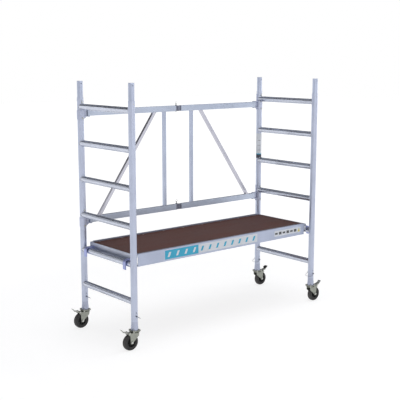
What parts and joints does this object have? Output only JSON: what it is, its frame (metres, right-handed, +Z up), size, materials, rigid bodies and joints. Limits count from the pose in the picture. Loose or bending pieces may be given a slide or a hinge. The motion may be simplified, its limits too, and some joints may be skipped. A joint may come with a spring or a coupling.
{
  "type": "folding mobile scaffold section",
  "caption": "Folding aluminium room scaffold section with ribbed ladder end frames, a hinged guard-rail back frame, a hook-on plywood platform and braked swivel castors.",
  "frame": {"origin": "on the floor under the middle of the bay, midway between the front and rear posts", "axes": "+X along the bay to the right end frame, +Y to the guard-rail side, +Z up"},
  "size_m": [2.1484, 0.752, 1.9555],
  "materials": {
    "post_aluminium": "satin extruded tube",
    "spigot_aluminium": "satin extruded tube",
    "rung_aluminium": "ribbed extrusion",
    "stem_aluminium": "as machined",
    "rail_aluminium": "satin extruded tube",
    "bracket_aluminium": "cast and drilled",
    "beam_aluminium": "satin extruded profile",
    "joist_aluminium": "mill finish",
    "hook_aluminium": "satin extruded profile",
    "hinge_steel": "zinc plated",
    "zinc_steel": "zinc plated pressing",
    "bolt_steel": "zinc plated",
    "pedal_steel": "zinc plated pressing",
    "wheel_plastic": "moulded",
    "tyre_rubber": "smooth tread",
    "deck_plywood": "brown phenolic film"
  },
  "bodies": {
    "left_frame": {"left_front_post": "post_aluminium", "left_rear_post": "post_aluminium", "left_spigots": "spigot_aluminium", "left_rungs": "rung_aluminium", "left_castor_stems": "stem_aluminium", "left_castor_plates": "zinc_steel", "left_plate_bolts": "bolt_steel", "left_snap_pins": "bolt_steel", "left_post_brackets": "bracket_aluminium", "left_bracket_bolts": "bolt_steel", "left_post_hinge_pins": "bolt_steel"},
    "right_frame": {"right_front_post": "post_aluminium", "right_rear_post": "post_aluminium", "right_spigots": "spigot_aluminium", "right_rungs": "rung_aluminium", "right_castor_stems": "stem_aluminium", "right_castor_plates": "zinc_steel", "right_plate_bolts": "bolt_steel", "right_snap_pins": "bolt_steel", "right_post_brackets": "bracket_aluminium", "right_bracket_bolts": "bolt_steel", "right_post_hinge_pins": "bolt_steel"},
    "left_panel": {"left_top_rail": "rail_aluminium", "left_lower_rail": "rail_aluminium", "left_upright": "rail_aluminium", "left_diagonal": "rail_aluminium", "left_centre_hinges": "hinge_steel", "centre_hinge_pins": "bolt_steel"},
    "right_panel": {"right_top_rail": "rail_aluminium", "right_lower_rail": "rail_aluminium", "right_upright": "rail_aluminium", "right_diagonal": "rail_aluminium", "right_centre_hinges": "hinge_steel"},
    "platform": {"deck_board": "deck_plywood", "front_side_beam": "beam_aluminium", "rear_side_beam": "beam_aluminium", "left_end_channel": "beam_aluminium", "right_end_channel": "beam_aluminium", "rung_hooks": "hook_aluminium", "deck_joists": "joist_aluminium"},
    "left_front_swivel": {"left_front_fork": "zinc_steel", "left_front_axle_pins": "bolt_steel"},
    "left_front_wheel": {"left_front_rim": "wheel_plastic", "left_front_tyre": "tyre_rubber"},
    "left_front_pedal": {"left_front_brake_pedal": "pedal_steel"},
    "left_rear_swivel": {"left_rear_fork": "zinc_steel", "left_rear_axle_pins": "bolt_steel"},
    "left_rear_wheel": {"left_rear_rim": "wheel_plastic", "left_rear_tyre": "tyre_rubber"},
    "left_rear_pedal": {"left_rear_brake_pedal": "pedal_steel"},
    "right_front_swivel": {"right_front_fork": "zinc_steel", "right_front_axle_pins": "bolt_steel"},
    "right_front_wheel": {"right_front_rim": "wheel_plastic", "right_front_tyre": "tyre_rubber"},
    "right_front_pedal": {"right_front_brake_pedal": "pedal_steel"},
    "right_rear_swivel": {"right_rear_fork": "zinc_steel", "right_rear_axle_pins": "bolt_steel"},
    "right_rear_wheel": {"right_rear_rim": "wheel_plastic", "right_rear_tyre": "tyre_rubber"},
    "right_rear_pedal": {"right_rear_brake_pedal": "pedal_steel"}
  },
  "joints": [
    {"name": "left_panel_hinge", "type": "hinge", "parent": "left_frame", "child": "left_panel", "pos_m": [-0.8815, 0.3385, 1.291], "axis": [0, 0, -1], "range_deg": [0, 84]},
    {"name": "centre_hinge", "type": "hinge", "parent": "left_panel", "child": "right_panel", "pos_m": [0, 0.3605, 1.291], "axis": [0, 0, 1], "range_deg": [0, 168]},
    {"name": "right_panel_hinge", "type": "hinge", "parent": "right_panel", "child": "right_frame", "pos_m": [0.8815, 0.3385, 1.291], "axis": [0, 0, -1], "range_deg": [0, 84]},
    {"name": "platform_tilt", "type": "hinge", "parent": "left_frame", "child": "platform", "pos_m": [-0.955, 0, 0.64], "axis": [0, -1, 0], "range_deg": [0, 10]},
    {"name": "left_front_swivel_turn", "type": "hinge", "parent": "left_frame", "child": "left_front_swivel", "pos_m": [-0.955, -0.3385, 0.13], "axis": [0, 0, 1], "continuous": true},
    {"name": "left_front_wheel_roll", "type": "hinge", "parent": "left_front_swivel", "child": "left_front_wheel", "pos_m": [-0.995, -0.3385, 0.0625], "axis": [0, 1, 0], "continuous": true},
    {"name": "left_front_pedal_press", "type": "hinge", "parent": "left_front_swivel", "child": "left_front_pedal", "pos_m": [-1.015, -0.3385, 0.1352], "axis": [0, -1, 0], "range_deg": [0, 12]},
    {"name": "left_rear_swivel_turn", "type": "hinge", "parent": "left_frame", "child": "left_rear_swivel", "pos_m": [-0.955, 0.3385, 0.13], "axis": [0, 0, 1], "continuous": true},
    {"name": "left_rear_wheel_roll", "type": "hinge", "parent": "left_rear_swivel", "child": "left_rear_wheel", "pos_m": [-0.995, 0.3385, 0.0625], "axis": [0, 1, 0], "continuous": true},
    {"name": "left_rear_pedal_press", "type": "hinge", "parent": "left_rear_swivel", "child": "left_rear_pedal", "pos_m": [-1.015, 0.3385, 0.1352], "axis": [0, -1, 0], "range_deg": [0, 12]},
    {"name": "right_front_swivel_turn", "type": "hinge", "parent": "right_frame", "child": "right_front_swivel", "pos_m": [0.955, -0.3385, 0.13], "axis": [0, 0, 1], "continuous": true},
    {"name": "right_front_wheel_roll", "type": "hinge", "parent": "right_front_swivel", "child": "right_front_wheel", "pos_m": [0.995, -0.3385, 0.0625], "axis": [0, 1, 0], "continuous": true},
    {"name": "right_front_pedal_press", "type": "hinge", "parent": "right_front_swivel", "child": "right_front_pedal", "pos_m": [1.015, -0.3385, 0.1352], "axis": [0, 1, 0], "range_deg": [0, 12]},
    {"name": "right_rear_swivel_turn", "type": "hinge", "parent": "right_frame", "child": "right_rear_swivel", "pos_m": [0.955, 0.3385, 0.13], "axis": [0, 0, 1], "continuous": true},
    {"name": "right_rear_wheel_roll", "type": "hinge", "parent": "right_rear_swivel", "child": "right_rear_wheel", "pos_m": [0.995, 0.3385, 0.0625], "axis": [0, 1, 0], "continuous": true},
    {"name": "right_rear_pedal_press", "type": "hinge", "parent": "right_rear_swivel", "child": "right_rear_pedal", "pos_m": [1.015, 0.3385, 0.1352], "axis": [0, 1, 0], "range_deg": [0, 12]}
  ],
  "couplings": [
    {"joint": "centre_hinge", "follows": "left_panel_hinge", "ratio": 2},
    {"joint": "right_panel_hinge", "follows": "left_panel_hinge", "ratio": 1},
    {"joint": "platform_tilt", "follows": "left_panel_hinge", "ratio": 0.115}
  ]
}
